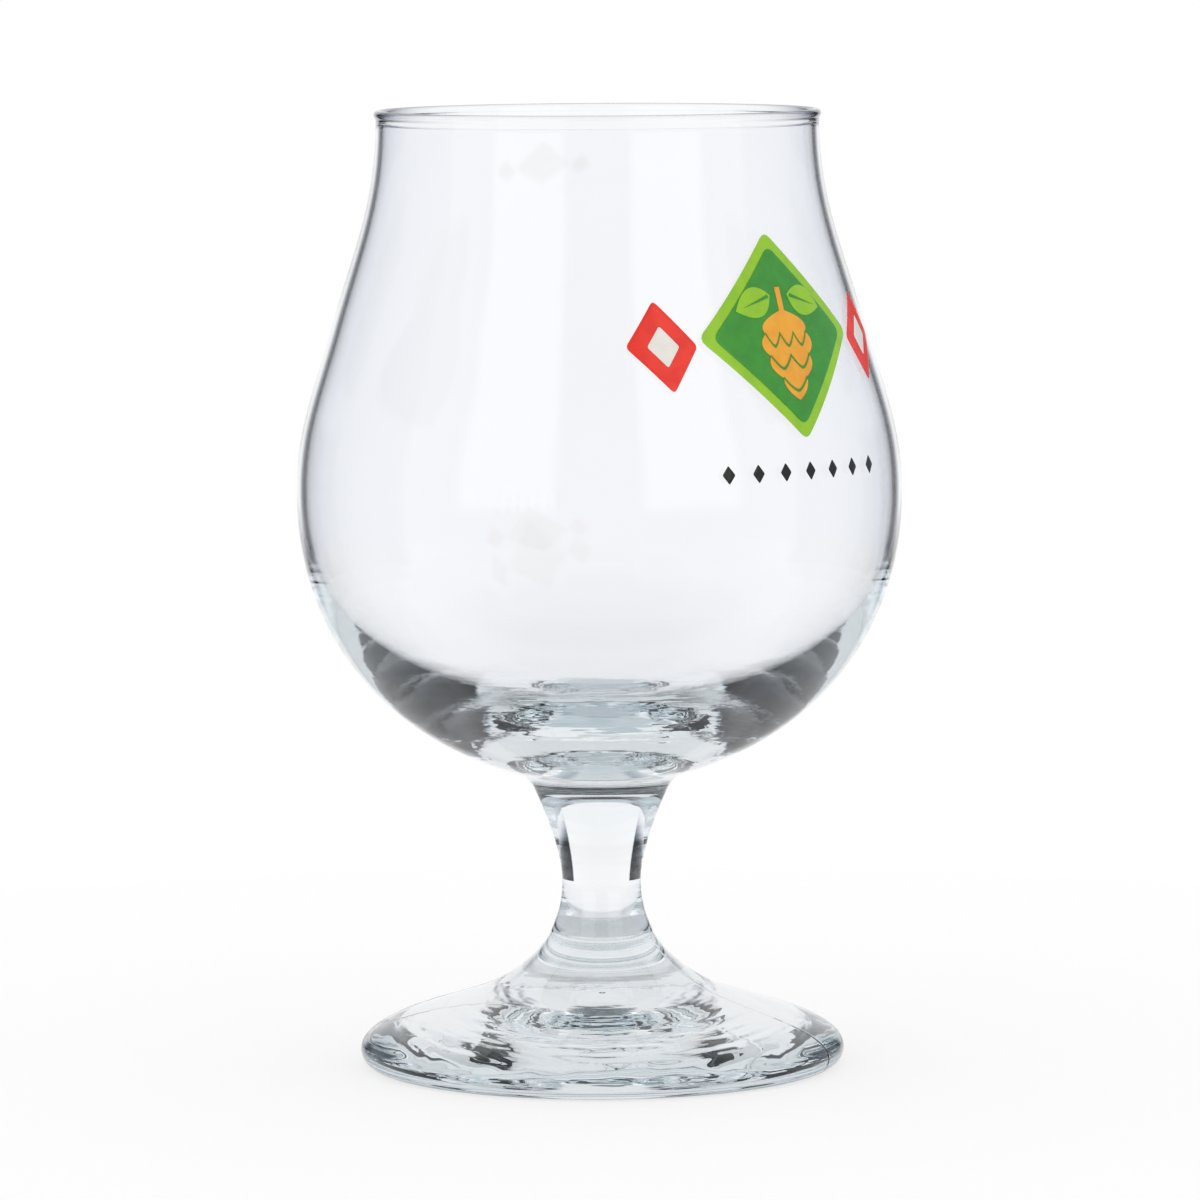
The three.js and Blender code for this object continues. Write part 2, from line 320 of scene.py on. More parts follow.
def bowl_inside():
    rim = RIM - point(RIM_WALL, 0)
    shoulder = SHOULDER - point(WALL, 0)
    belly = BELLY - point(WALL, 0)
    floor = point(0, BOWL_BASE + FLOOR_HEIGHT)
    return joined(
        run(rim, point(0, -RIM_PULL), SHOULDER_PULL_UP * UP_SHOULDER, shoulder, RUN_STEPS),
        run(shoulder, -SHOULDER_PULL_DOWN * UP_SHOULDER, point(0, BELLY_PULL_UP), belly, RUN_STEPS),
        run(belly, point(0, -INNER_BELLY_PULL), point(FLOOR_PULL, 0), floor, FLOOR_STEPS))


# Meshes of the glass

def placed(radius, azimuth, height):
    """Points of the frame, with the azimuth counted from the front of the glass to its right."""
    return np.stack([radius * np.sin(azimuth), -radius * np.cos(azimuth), height], axis=-1)


def azimuths_around():
    """Even steps around the axis, with finer ones across the mould seams."""
    even = np.arange(SEGMENTS_AROUND) * 360 / SEGMENTS_AROUND
    fine = np.concatenate([
        seam + np.linspace(-SEAM_HALF_WIDTH, SEAM_HALF_WIDTH, 2 * SEAM_STEPS + 1) for seam in SEAM_AZIMUTHS])
    far = [np.abs(fine - azimuth).min() > SEAM_HALF_WIDTH / SEAM_STEPS for azimuth in even]
    return np.radians(np.sort(np.concatenate([even[far], fine])))


def outward_of(profile):
    """Direction out of the glass at each ring of a profile."""
    along = np.gradient(profile, axis=0)
    along /= np.linalg.norm(along, axis=1)[:, None]
    return np.stack([along[:, 1], -along[:, 0]], axis=1)


def waves(points, length, height):
    """Gentle irregular waves over points of the frame."""
    return height * np.array([noise.noise(Vector(place / length)) for place in points.reshape(-1, 3)])


def chill_rings(points, spacing, turns, height):
    """Irregular rings around the axis, as the cold mould leaves them, dying out at the middle."""
    radius = np.hypot(points[..., 0], points[..., 1])
    turn = turns * points[..., :2] / np.maximum(radius, CHILL_CENTRE)[..., None]
    places = np.concatenate([turn, (radius / spacing)[..., None]], axis=-1)
    return waves(places, 1, height).reshape(radius.shape) * np.minimum(radius / CHILL_CENTRE, 1)


def seam_ridge(azimuth):
    """Low rounded ridge on each mould seam."""
    across = np.min([
        np.abs(np.degrees(azimuth) - seam) for seam in SEAM_AZIMUTHS], axis=0) / SEAM_HALF_WIDTH
    return SEAM_HEIGHT * np.cos(np.minimum(across, 1) * math.pi / 2) ** 2


def turned_points(profile, relief=None):
    """Grid of points around the axis, one row for each ring, raised by the relief."""
    azimuths = azimuths_around()
    radius, azimuth = np.meshgrid(profile[:, 0], azimuths, indexing="ij")
    height = np.repeat(profile[:, 1:2], len(azimuths), axis=1)
    if relief is not None:
        raised = relief(placed(radius, azimuth, height), azimuth)
        out = outward_of(profile)
        radius = np.maximum(radius + raised * out[:, :1], 0)
        height = height + raised * out[:, 1:]
    return placed(radius, azimuth, height)


def turned(name, sheets):
    """Closed mesh of revolution from sheets of points that follow on each other, each with a material.
    The first sheet starts and the last one ends on the axis. Sheets meet in sharp edges."""
    rows = np.concatenate([sheets[0][0]] + [points[1:] for points, _ in sheets[1:]])
    count = rows.shape[1]
    inner = rows[1:-1].reshape(-1, 3)
    corners = np.concatenate([rows[0].mean(axis=0)[None], inner, rows[-1].mean(axis=0)[None]])
    first, last = 0, len(corners) - 1
    ring_starts = range(1, last, count)
    here = np.arange(count)
    beside = np.roll(here, -1)
    faces = [(1 + a, 1 + b, first) for a, b in zip(here, beside)]
    for low, high in zip(ring_starts, ring_starts[1:]):
        faces += [(low + a, low + b, high + b, high + a) for a, b in zip(here, beside)]
    top = ring_starts[-1]
    faces += [(top + a, top + b, last) for a, b in zip(here, beside)]
    mesh = bpy.data.meshes.new(name)
    mesh.from_pydata(corners * MM, [], faces)
    strips = np.concatenate([
        np.full(len(points) - 1, index) for index, (points, _) in enumerate(sheets)])
    sheet_of_face = np.repeat(strips, count)
    for _, material in sheets:
        mesh.materials.append(material)
    mesh.polygons.foreach_set("material_index", sheet_of_face.astype(np.int32))
    mesh.shade_smooth()
    mark_sheet_edges(mesh, sheet_of_face)
    return shown(name, mesh)


def mark_sheet_edges(mesh, sheet_of_face):
    """Sharp shading where two sheets meet."""
    sheets_at = {}
    for face in mesh.polygons:
        for key in face.edge_keys:
            sheets_at.setdefault(key, set()).add(sheet_of_face[face.index])
    for edge in mesh.edges:
        edge.use_edge_sharp = len(sheets_at[edge.key]) > 1


def shown(name, mesh):
    mesh.validate()
    piece = bpy.data.objects.new(name, mesh)
    bpy.context.scene.collection.objects.link(piece)
    return piece


def glass_pieces(glass, weld):
    def chill(points, azimuth):
        return (chill_rings(points, CHILL_SPACING, CHILL_TURNS, CHILL_HEIGHT)
                + chill_rings(points, FINE_CHILL_SPACING, FINE_CHILL_TURNS, FINE_CHILL_HEIGHT))

    def floor_waves(points, azimuth):
        above = points[..., 2] - BOWL_BASE - FLOOR_HEIGHT
        depth = np.clip((FLOOR_WAVE_END - above) / (FLOOR_WAVE_END - FLOOR_WAVE_FADE), 0, 1)
        broad = waves(points, FLOOR_WAVE_LENGTH, FLOOR_WAVE_HEIGHT).reshape(azimuth.shape)
        rings = chill_rings(points, FLOOR_CHILL_SPACING, CHILL_TURNS, FLOOR_CHILL_HEIGHT)
        fine = chill_rings(points, FINE_CHILL_SPACING, FINE_CHILL_TURNS, FLOOR_FINE_HEIGHT)
        return depth * (broad + rings + fine)

    def seams(points, azimuth):
        return seam_ridge(azimuth) * np.clip(points[..., 2] / FOOT_EDGE_ROUNDING, 0, 1)

    def weld_disc(radius, height):
        return turned_points(flat(point(radius, height), point(0, height)))

    foot = turned("foot_glass", [
        (turned_points(foot_underside(), chill), glass),
        (turned_points(foot_outside(), seams), glass),
        (weld_disc(STEM_BASE_RADIUS, FOOT_TOP), weld)])
    stem = turned("stem_glass", [
        (weld_disc(STEM_BASE_RADIUS, FOOT_TOP + WELD_GAP)[::-1], weld),
        (turned_points(stem_outside()), glass),
        (weld_disc(WELD_RADIUS, BOWL_BASE - WELD_GAP), weld)])
    bowl = turned("bowl_glass", [
        (weld_disc(WELD_RADIUS, BOWL_BASE)[::-1], weld),
        (turned_points(joined(bowl_outside(), lip_bead())), glass),
        (turned_points(bowl_inside(), floor_waves), glass)])
    for piece, node in ((foot, "foot"), (stem, "stem"), (bowl, "bowl")):
        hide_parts(node)
        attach(piece, BODY)


# Materials

def add(tree, kind, settings, inputs):
    """New node with its settings, and with each input set to a value or linked to another node's output."""
    made = tree.nodes.new(kind)
    for name, value in settings.items():
        setattr(made, name, value)
    for key, value in inputs.items():
        if isinstance(value, bpy.types.NodeSocket):
            tree.links.new(value, made.inputs[key])
        else:
            made.inputs[key].default_value = value
    return made


def fresh_tree(owner):
    owner.use_nodes = True
    owner.node_tree.nodes.clear()
    return owner.node_tree


def spread(tree, value, low, high, start=0.0, end=1.0):
    """The value's stretch from low to high, eased onto the stretch from start to end."""
    return add(tree, "ShaderNodeMapRange", {"interpolation_type": "SMOOTHSTEP"}, {
        "Value": value, "From Min": low, "From Max": high, "To Min": start, "To Max": end}).outputs["Result"]


def maths(tree, operation, *values):
    return add(tree, "ShaderNodeMath", {"operation": operation}, dict(enumerate(values))).outputs[0]


def product(tree, first, *others):
    for other in others:
        first = maths(tree, "MULTIPLY", first, other)
    return first


def opposite(tree, share):
    return maths(tree, "SUBTRACT", 1, share)


def number_mix(tree, share, low, high):
    """Number between two others, through the sockets that a Mix node has for numbers."""
    return add(tree, "ShaderNodeMix", {}, {0: share, 2: low, 3: high}).outputs[0]


def blended(tree, share, low, high):
    """Colour between two others, through the sockets that a Mix node has for colours."""
    return add(tree, "ShaderNodeMix", {"data_type": "RGBA"}, {0: share, 6: low, 7: high}).outputs[2]


def own_place(tree):
    return add(tree, "ShaderNodeTexCoord", {}, {}).outputs["Object"]


def axes_of(tree, vector):
    return add(tree, "ShaderNodeSeparateXYZ", {}, {0: vector}).outputs


def length_of(tree, vector):
    return add(tree, "ShaderNodeVectorMath", {"operation": "LENGTH"}, {0: vector}).outputs["Value"]


def noise_of(tree, place, scale, detail):
    return add(tree, "ShaderNodeTexNoise", {}, {
        "Vector": place, "Scale": scale, "Detail": detail}).outputs["Fac"]


def finished(tree, shader):
    return add(tree, "ShaderNodeOutputMaterial", {}, {"Surface": shader})


# Glass, with painted shade on its edges and the shares of turning away from the eye at which that painted
# shade starts to show and is full
CLEAR_GLASS = (0.972, 0.978, 0.992, 1)
PAINTED_EDGE_SHADE = (0.85, 0.90, 0.92, 1)
EDGE_SHADE_START = 0.8
EDGE_SHADE_FULL = 1.0
# Painted shade on the lip, nearly black where it is seen on edge
PAINTED_LIP_SHADE = (0.05, 0.055, 0.09, 1)
LIP_SHADE_START = 0.3
LIP_SHADE_FULL = 0.85
GLASS_IOR = 1.52
GLASS_TINT = (0.60, 0.734, 0.785, 1)
GLASS_DENSITY = 6


def fine_rings(tree):
    """Fine uneven rings around the axis, on the thick glass below the belly only."""
    x, y, z = axes_of(tree, own_place(tree))
    flat_place = add(tree, "ShaderNodeCombineXYZ", {}, {0: x, 1: y}).outputs[0]
    outward = add(tree, "ShaderNodeVectorMath", {"operation": "NORMALIZE"}, {0: flat_place}).outputs[0]
    turn = add(tree, "ShaderNodeVectorMath", {"operation": "SCALE"}, {
        0: outward, "Scale": FINE_RING_TURNS}).outputs[0]
    run_up = maths(tree, "MULTIPLY_ADD", z, FINE_RING_LIFT, length_of(tree, flat_place))
    rise = maths(tree, "DIVIDE", run_up, FINE_RING_SPACING * MM)
    lifted = add(tree, "ShaderNodeCombineXYZ", {}, {2: rise}).outputs[0]
    where = add(tree, "ShaderNodeVectorMath", {"operation": "ADD"}, {0: turn, 1: lifted}).outputs[0]
    low = spread(tree, z, (FINE_RINGS_BELOW - FINE_RINGS_FADE) * MM, FINE_RINGS_BELOW * MM, 1, 0)
    return product(tree, noise_of(tree, where, 1, 0), low)


def glass_material():
    """Clear glass with painted shade, bluer and darker where it is seen on edge, most of all on the lip, with
    fine rings.
    """
    material = bpy.data.materials.new("clear_glass")
    tree = fresh_tree(material)
    facing = add(tree, "ShaderNodeLayerWeight", {}, {}).outputs["Facing"]
    _, _, z = axes_of(tree, own_place(tree))
    on_lip = maths(tree, "GREATER_THAN", z, (BOWL_TOP - 2 * LIP_BEAD_RADIUS) * MM)
    # Painted shade on the lip where it is seen on edge
    painted_lip_shade = product(tree, on_lip, spread(tree, facing, LIP_SHADE_START, LIP_SHADE_FULL))
    # Painted shade: the glass colour turns bluer and darker where it is seen on edge
    tint = blended(tree, spread(tree, facing, EDGE_SHADE_START, EDGE_SHADE_FULL), CLEAR_GLASS, PAINTED_EDGE_SHADE)
    bump = add(tree, "ShaderNodeBump", {}, {
        "Strength": 1.0, "Distance": FINE_RING_HEIGHT * MM, "Height": fine_rings(tree)}).outputs["Normal"]
    shader = add(tree, "ShaderNodeBsdfPrincipled", {}, {
        "Base Color": blended(tree, painted_lip_shade, tint, PAINTED_LIP_SHADE),
        "Roughness": 0.0, "IOR": GLASS_IOR, "Transmission Weight": 1.0, "Normal": bump})
    tint_in_depth(tree, finished(tree, shader.outputs["BSDF"]))
    return material


def tint_in_depth(tree, output):
    """The longer light runs in the glass, the darker and the more blue-green it gets."""
    tint = add(tree, "ShaderNodeVolumeAbsorption", {}, {"Color": GLASS_TINT, "Density": GLASS_DENSITY})
    tree.links.new(tint.outputs["Volume"], output.inputs["Volume"])


def weld_material():
    """The welds have run together, so nothing shows inside the glass there."""
    material = bpy.data.materials.new("fused_weld")
    tree = fresh_tree(material)
    tint_in_depth(tree, finished(tree, add(tree, "ShaderNodeBsdfTransparent", {}, {}).outputs["BSDF"]))
    return material


# Enamel, with its clouds and its grain counted per metre
CLOUD_SCALE = 400
CLOUD_DETAIL = 3
CLOUD_START = 0.35
CLOUD_FULL = 0.7
CLEAR_ROUGHNESS = 0.24
CLOUD_ROUGHNESS = 0.34
GRAIN_SCALE = 5000
GRAIN_DETAIL = 2
GRAIN_STRENGTH = 0.15
GRAIN_HEIGHT = 0.03


def enamel_material(slot, colour, shade):
    """Fired gloss ink, slightly cloudy in colour, with the faint grain of the printing screen."""
    material = bpy.data.materials.new(slot)
    tree = fresh_tree(material)
    place = own_place(tree)
    cloud = spread(tree, noise_of(tree, place, CLOUD_SCALE, CLOUD_DETAIL), CLOUD_START, CLOUD_FULL)
    bump = add(tree, "ShaderNodeBump", {}, {
        "Strength": GRAIN_STRENGTH, "Distance": GRAIN_HEIGHT * MM,
        "Height": noise_of(tree, place, GRAIN_SCALE, GRAIN_DETAIL)}).outputs["Normal"]
    shader = add(tree, "ShaderNodeBsdfPrincipled", {}, {
        "Base Color": blended(tree, cloud, (*colour, 1), (*shade, 1)),
        "Roughness": spread(tree, cloud, 0, 1, CLEAR_ROUGHNESS, CLOUD_ROUGHNESS), "Normal": bump})
    finished(tree, shader.outputs["BSDF"])
    return material


# Print

def outline_curve(start, control, end, steps=CURVE_STEPS):
    share = np.linspace(0, 1, steps + 1)[1:, None]
    return (1 - share) ** 2 * start + 2 * share * (1 - share) * control + share ** 2 * end


def diamond(x, y, width, height, corner):
    """Upright diamond with softened corners."""
    tips = [point(x + width / 2, y), point(x, y + height / 2),
            point(x - width / 2, y), point(x, y - height / 2)]
    outline = []
    for index, tip in enumerate(tips):
        before = tips[index - 1] - tip
        after = tips[(index + 1) % len(tips)] - tip
        start = tip + corner * before / np.linalg.norm(before)
        end = tip + corner * after / np.linalg.norm(after)
        outline += [start[None], outline_curve(start, tip, end, CORNER_STEPS)]
    return np.concatenate(outline)


def cone_half_width(tier):
    swell = CONE_SWELL_AT_STALK + (1 - CONE_SWELL_AT_STALK) * tier / CONE_TIERS
    return CONE_WIDTH / 2 * math.sin(math.pi * swell)


def cone_level(tier):
    return CONE_TOP - CONE_LENGTH * tier / CONE_TIERS


def hop_cone():
    """Hop cone that hangs from a short stalk, its sides scalloped by the tiers of bracts."""
    here = point(-STALK_WIDTH / 2, CONE_TOP)
    side = [here[None]]
    for tier in range(CONE_TIERS):
        middle = tier + BRACT_BULGE_PLACE
        bulge = point(-cone_half_width(middle) - BRACT_BULGE, cone_level(middle))
        end = point(-BRACT_TUCK * cone_half_width(tier + 1), cone_level(tier + 1))
        side.append(outline_curve(here, bulge, end))
        here = end
    left = np.concatenate([point(-STALK_WIDTH / 2, CONE_TOP + STALK_LENGTH)[None], *side])
    right = left[::-1] * (-1, 1)
    return np.concatenate([left, right[1:]])


def bract_line(tier):
    """Scalloped line across the cone, along the tips of one tier of bracts."""
    bracts = CONE_TIERS - tier
    reach = BRACT_TUCK * cone_half_width(tier)
    x = np.linspace(-reach, reach, BRACT_STEPS * bracts + 1)
    from_tip = np.abs((x + reach) / (2 * reach) * bracts % 1 * 2 - 1)
    line = np.stack([x, cone_level(tier) - BRACT_TIP * (1 - from_tip ** BRACT_POINT)], axis=1)
    half = point(0, BRACT_LINE / 2)
    return np.concatenate([line - half, (line + half)[::-1]])


def leaf_axes(side):
    """Root of a leaf, and the directions along and across it."""
    droop = math.radians(LEAF_DROOP)
    return (point(side * (STALK_WIDTH / 2 + LEAF_ROOT), CONE_TOP + LEAF_LIFT),
            point(side * math.cos(droop), -math.sin(droop)),
            point(side * math.sin(droop), math.cos(droop)))


def leaf(side):
    """Pointed leaf that springs from beside the stalk and droops outward."""
    root, along, across = leaf_axes(side)
    tip = root + LEAF_LENGTH * along
    middle = root + LEAF_WIDEST_PLACE * LEAF_LENGTH * along
    upper = outline_curve(root, middle + LEAF_WIDTH * across, tip)
    lower = outline_curve(tip, middle - LEAF_WIDTH * across, root)
    return anticlockwise(np.concatenate([upper, lower]))


def leaf_vein(side):
    """Middle vein of a leaf, tapering towards its tip."""
    root, along, across = leaf_axes(side)
    start = root + VEIN_WIDTH * along
    half = VEIN_WIDTH / 2 * across
    return anticlockwise(np.array([start - half, root + VEIN_SHARE * LEAF_LENGTH * along, start + half]))


def anticlockwise(outline):
    x, y = outline.T
    return outline if np.sum(x * np.roll(y, -1) - y * np.roll(x, -1)) > 0 else outline[::-1]


def evenly(outline, spacing):
    """The closed outline with points added so that none are further apart than the spacing."""
    points = []
    for start, end in zip(outline, np.roll(outline, -1, axis=0)):
        steps = max(1, math.ceil(np.linalg.norm(end - start) / spacing))
        points += [start + (end - start) * step / steps for step in range(steps)]
    return np.array(points)


def distance_to(outline, places):
    """Distance of each place from the nearest point of the outline."""
    return np.min(np.linalg.norm(places[:, None] - outline[None], axis=2), axis=1)


def within(outline, places):
    """Whether each place lies inside the outline."""
    inside = np.zeros(len(places), bool)
    for (ax, ay), (bx, by) in zip(outline, np.roll(outline, -1, axis=0)):
        crosses = (ay > places[:, 1]) != (by > places[:, 1])
        if ay != by:
            inside ^= crosses & (places[:, 0] < ax + (bx - ax) * (places[:, 1] - ay) / (by - ay))
    return inside


WALL_PROFILE = bowl_outside()
WALL_OUTWARD = outward_of(WALL_PROFILE)


def on_bowl(places, lift):
    """Points on the outside of the bowl, seen straight on from the azimuth of the print."""
    height = BOWL_BASE + PRINT_HEIGHT + places[:, 1]
    radius = np.interp(height, WALL_PROFILE[:, 1], WALL_PROFILE[:, 0])
    out_radius = np.interp(height, WALL_PROFILE[:, 1], WALL_OUTWARD[:, 0])
    out_height = np.interp(height, WALL_PROFILE[:, 1], WALL_OUTWARD[:, 1])
    azimuth = math.radians(PRINT_AZIMUTH) + np.arcsin(places[:, 0] / radius)
    return placed(radius + lift * out_radius, azimuth, height + lift * out_height)


def ink_patch(name, outline, layer, material, slot, *nodes):
    """One patch of ink: a thin closed sheet draped on the bowl, thinner along its edge."""
    edge = evenly(outline, INK_GRID)
    low, high = edge.min(axis=0), edge.max(axis=0)
    grid = np.stack(np.meshgrid(
        np.arange(low[0], high[0], INK_GRID), np.arange(low[1], high[1], INK_GRID)), axis=-1).reshape(-1, 2)
    grid = grid[within(edge, grid)]
    grid = grid[distance_to(edge, grid) > INK_GRID / 2]
    flat_points = [Vector(place) for place in np.concatenate([edge, grid])]
    ring = [(index, (index + 1) % len(edge)) for index in range(len(edge))]
    places, _, triangles, *_ = delaunay_2d_cdt(flat_points, ring, [], INSIDE_ONLY, TOUCHING)
    places = np.array([tuple(place) for place in places])
    count = len(places)
    on_edge = distance_to(edge, places) < TOUCHING
    base = INK_CLEARANCE + layer * (INK_CLEARANCE + INK_THICKNESS)
    top = on_bowl(places, base + INK_THICKNESS * np.where(on_edge, INK_EDGE_SHARE, 1))
    bottom = on_bowl(places, base)
    faces = [tuple(face) for face in triangles]
    faces += [tuple(count + corner for corner in face[::-1]) for face in triangles]
    sides = [side for face in triangles for side in zip(face, (*face[1:], face[0]))]
    known = set(sides)
    faces += [(b, a, count + a, count + b) for a, b in sides if (b, a) not in known]
    mesh = bpy.data.meshes.new(name)
    mesh.from_pydata(np.concatenate([top, bottom]) * MM, [], faces)
    mesh.materials.append(material)
    piece = shown(name, mesh)
    if nodes:
        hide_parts(*nodes)
    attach(piece, BODY)


# Colour of each enamel, and of the cloudy places in it
ENAMELS = {
    "light_green_enamel": ((0.30, 0.58, 0.02), (0.26, 0.53, 0.02)),
    "dark_green_enamel": ((0.045, 0.30, 0.03), (0.035, 0.26, 0.025)),
    "gold_enamel": ((0.87, 0.40, 0.03), (0.80, 0.33, 0.02)),
    "red_enamel": ((0.87, 0.03, 0.012), (0.78, 0.022, 0.01)),
    "white_enamel": ((0.83, 0.80, 0.75), (0.78, 0.75, 0.70)),
    "black_enamel": ((0.008, 0.008, 0.008), (0.012, 0.011, 0.010)),
}


def print_pieces():
    inks = {slot: enamel_material(slot, *colours) for slot, colours in ENAMELS.items()}

    def patch(node, outline, layer, slot):
        ink_patch(node + "_ink", outline, layer, inks[slot], slot, node)

    def overprint(name, outline):
        ink_patch(name, outline, OVERPRINT_INK, inks["dark_green_enamel"], "dark_green_enamel")

    inset = 1 - 2 * LOZENGE_BORDER * math.hypot(1 / LOZENGE_WIDTH, 1 / LOZENGE_HEIGHT)
    for node, share, layer, slot in (
            ("enamel_lozenge", 1, FIRST_INK, "light_green_enamel"),
            ("enamel_field", inset, SECOND_INK, "dark_green_enamel")):
        patch(node, diamond(0, 0, LOZENGE_WIDTH * share, LOZENGE_HEIGHT * share, LOZENGE_CORNER), layer, slot)
    patch("enamel_hop_cone", hop_cone(), THIRD_INK, "gold_enamel")
    for tier in range(1, CONE_TIERS):
        overprint(f"bract_line_{tier}_ink", bract_line(tier))
    for place, side in (("left", -1), ("right", 1)):
        x = side * DIAMOND_OFFSET
        patch(f"enamel_leaf_{place}", leaf(side), THIRD_INK, "light_green_enamel")
        overprint(f"leaf_vein_{place}_ink", leaf_vein(side))
        patch(f"enamel_diamond_{place}",
              diamond(x, -DIAMOND_DROP, DIAMOND_WIDTH, DIAMOND_HEIGHT, DIAMOND_CORNER),
              FIRST_INK, "red_enamel")
        patch(f"enamel_spark_{place}",
              diamond(x, -DIAMOND_DROP, SPARK_WIDTH, SPARK_HEIGHT, SPARK_CORNER),
              SECOND_INK, "white_enamel")
    for index in range(BEAD_COUNT):
        x = (index - (BEAD_COUNT - 1) / 2) * BEAD_SPACING
        patch(f"enamel_bead_{index + 1}",
              diamond(x, -BEAD_DROP, BEAD_WIDTH, BEAD_HEIGHT, BEAD_CORNER),
              FIRST_INK, "black_enamel")


# Studio

STUDIO_WHITE = (1, 1, 1, 1)
FLAG_TINT = (0.86, 0.95, 1.15, 1)
FLOOR_COLOUR = (0.36, 0.36, 0.365, 1)
FLOOR_RADIUS = 220
FLOOR_CORNERS = 96
FLOOR_DROP = 0.05

# Strengths of light, where 1 is white, and the share of the floor's glow that is left in the shadow painted
# under the foot
FLOOR_GLOW = 0.65
FOOT_SHADE = 0.84
BACK_LIGHT = 1.0
BACK_IN_GLASS = 0.88
TOP_LIGHT = 1.0
TOP_IN_GLASS = 0.08
SIDE_LIGHT = 0.8
FLAG_LIGHT = 0.015
FLAG_PALE_LIGHT = 0.5
FRONT_LIGHT = 0.9
FRONT_IN_GLASS = 0.8
FRONT_MIRRORED = 0.3
SOFTBOX_LIGHT = 1.2

# Distances from the axis on the floor, for the shadow painted under the foot and for the flags
FOOT_SHADE_START = 32
FOOT_SHADE_END = 42
FLAG_FLOOR_START = 50
FLAG_FLOOR_FULL = 70

# Angles from the middle of the back: the white backdrop ends, then a dark flag, then the open side
FLAG_START = 33
FLAG_START_IN_WALL = 16
FLAG_FULL_IN_WALL = 25
FLAG_START_IN_HEEL = 36
FLAG_PALE = 42
FLAG_END = 78
FLAG_END_INSIDE = 100
FLAG_SOFTNESS = 2.5
SOFTBOX_START = 128
SOFTBOX_END = 160
SOFTBOX_SOFTNESS = 6

# Heights of directions, from -1 for straight down to 1 for straight up
FLAG_LOW_START = -0.26
FLAG_LOW_FULL = -0.2
FLAG_TOP_START = 0.30
FLAG_TOP_END = 0.46
FLAG_TOP_START_IN_HEEL = 0.50
FLAG_TOP_END_IN_HEEL = 0.58
SOFTBOX_LOW_START = -0.1
SOFTBOX_LOW_FULL = 0
SOFTBOX_TOP_START = 0.6
SOFTBOX_TOP_END = 0.7
PLAIN_TOP_START = 0.45
PLAIN_TOP_END = 0.6
TOP_START = 0.7
TOP_FULL = 0.9

# Counts along the path of light, and the margin by which whole counts are told apart
THIN_WALL_CROSSINGS = 3
BOUNCES = 32
COUNT_MARGIN = 0.5


def light_path(tree):
    return add(tree, "ShaderNodeLightPath", {}, {}).outputs


def at_least(tree, count, times):
    return maths(tree, "GREATER_THAN", count, times - COUNT_MARGIN)


def turned_back(tree, times):
    """1 for light that the glass has turned back at least so many times."""
    return at_least(tree, light_path(tree)["Glossy Depth"], times)


def turned_back_once(tree):
    return maths(tree, "SUBTRACT", turned_back(tree, 1), turned_back(tree, 2))


def in_glass(tree):
    """1 for light that is seen through the glass or mirrored in it."""
    path = light_path(tree)
    return maths(tree, "MAXIMUM", path["Is Transmission Ray"], path["Is Glossy Ray"])


def mirrored(tree):
    """1 for light mirrored off the outside of the glass."""
    path = light_path(tree)
    outside = opposite(tree, at_least(tree, path["Transmission Depth"], 1))
    return product(tree, path["Is Glossy Ray"], outside)


def plain_light(tree):
    """1 for light that thin walls let through or turn back once, and for light on enamel and floor."""
    path = light_path(tree)
    walls = at_least(tree, path["Transmission Depth"], THIN_WALL_CROSSINGS)
    seldom = opposite(tree, turned_back(tree, 2))
    scattered = at_least(tree, path["Diffuse Depth"], 1)
    return maths(tree, "MAXIMUM", product(tree, walls, seldom), scattered)


def flag_share(tree, x, y):
    """How much of a dark flag stands in a direction, with its angle from the back.
    Light that the glass has turned back sees the edges of the flags elsewhere."""
    turn = maths(tree, "ABSOLUTE", maths(tree, "ARCTAN2", x, y))
    turn = maths(tree, "DEGREES", turn)
    once, often = turned_back(tree, 1), turned_back(tree, 2)
    straight = spread(tree, turn, FLAG_START, FLAG_START + FLAG_SOFTNESS)
    in_wall = spread(tree, turn, FLAG_START_IN_WALL, FLAG_FULL_IN_WALL)
    in_heel = spread(tree, turn, FLAG_START_IN_HEEL, FLAG_START_IN_HEEL + FLAG_SOFTNESS)
    start = number_mix(tree, often, number_mix(tree, once, straight, in_wall), in_heel)
    end = number_mix(tree, once, spread(tree, turn, FLAG_END - FLAG_SOFTNESS, FLAG_END, 1, 0),
                     spread(tree, turn, FLAG_END_INSIDE - FLAG_SOFTNESS, FLAG_END_INSIDE, 1, 0))
    return turn, product(tree, start, end)


def flag_level(tree, turn):
    """Light of the flags, which grow pale away from the backdrop for light turned back once."""
    pale = spread(tree, turn, FLAG_FULL_IN_WALL, FLAG_PALE, FLAG_LIGHT, FLAG_PALE_LIGHT)
    return number_mix(tree, turned_back_once(tree), FLAG_LIGHT, pale)


def under_flag_top(tree, z):
    """1 below the top edge of the flags, which light turned back more than once sees higher up."""
    return number_mix(tree, turned_back(tree, 2), spread(tree, z, FLAG_TOP_START, FLAG_TOP_END, 1, 0),
                      spread(tree, z, FLAG_TOP_START_IN_HEEL, FLAG_TOP_END_IN_HEEL, 1, 0))


def dimmed_by_flag(tree, flag, level):
    """A level below the flags, dimmed there for light that the glass has turned back once."""
    share = product(tree, turned_back_once(tree), flag)
    return product(tree, level, number_mix(tree, share, 1, FLAG_PALE_LIGHT))


def softbox_share(tree, turn, z):
    """1 in the two softboxes, which stand left and right of the front."""
    return product(
        tree,
        spread(tree, turn, SOFTBOX_START - SOFTBOX_SOFTNESS, SOFTBOX_START),
        spread(tree, turn, SOFTBOX_END, SOFTBOX_END + SOFTBOX_SOFTNESS, 1, 0),
        spread(tree, z, SOFTBOX_LOW_START, SOFTBOX_LOW_FULL),
        spread(tree, z, SOFTBOX_TOP_START, SOFTBOX_TOP_END, 1, 0))


def white_glow(tree, level):
    return add(tree, "ShaderNodeEmission", {}, {
        "Color": STUDIO_WHITE, "Strength": level}).outputs["Emission"]


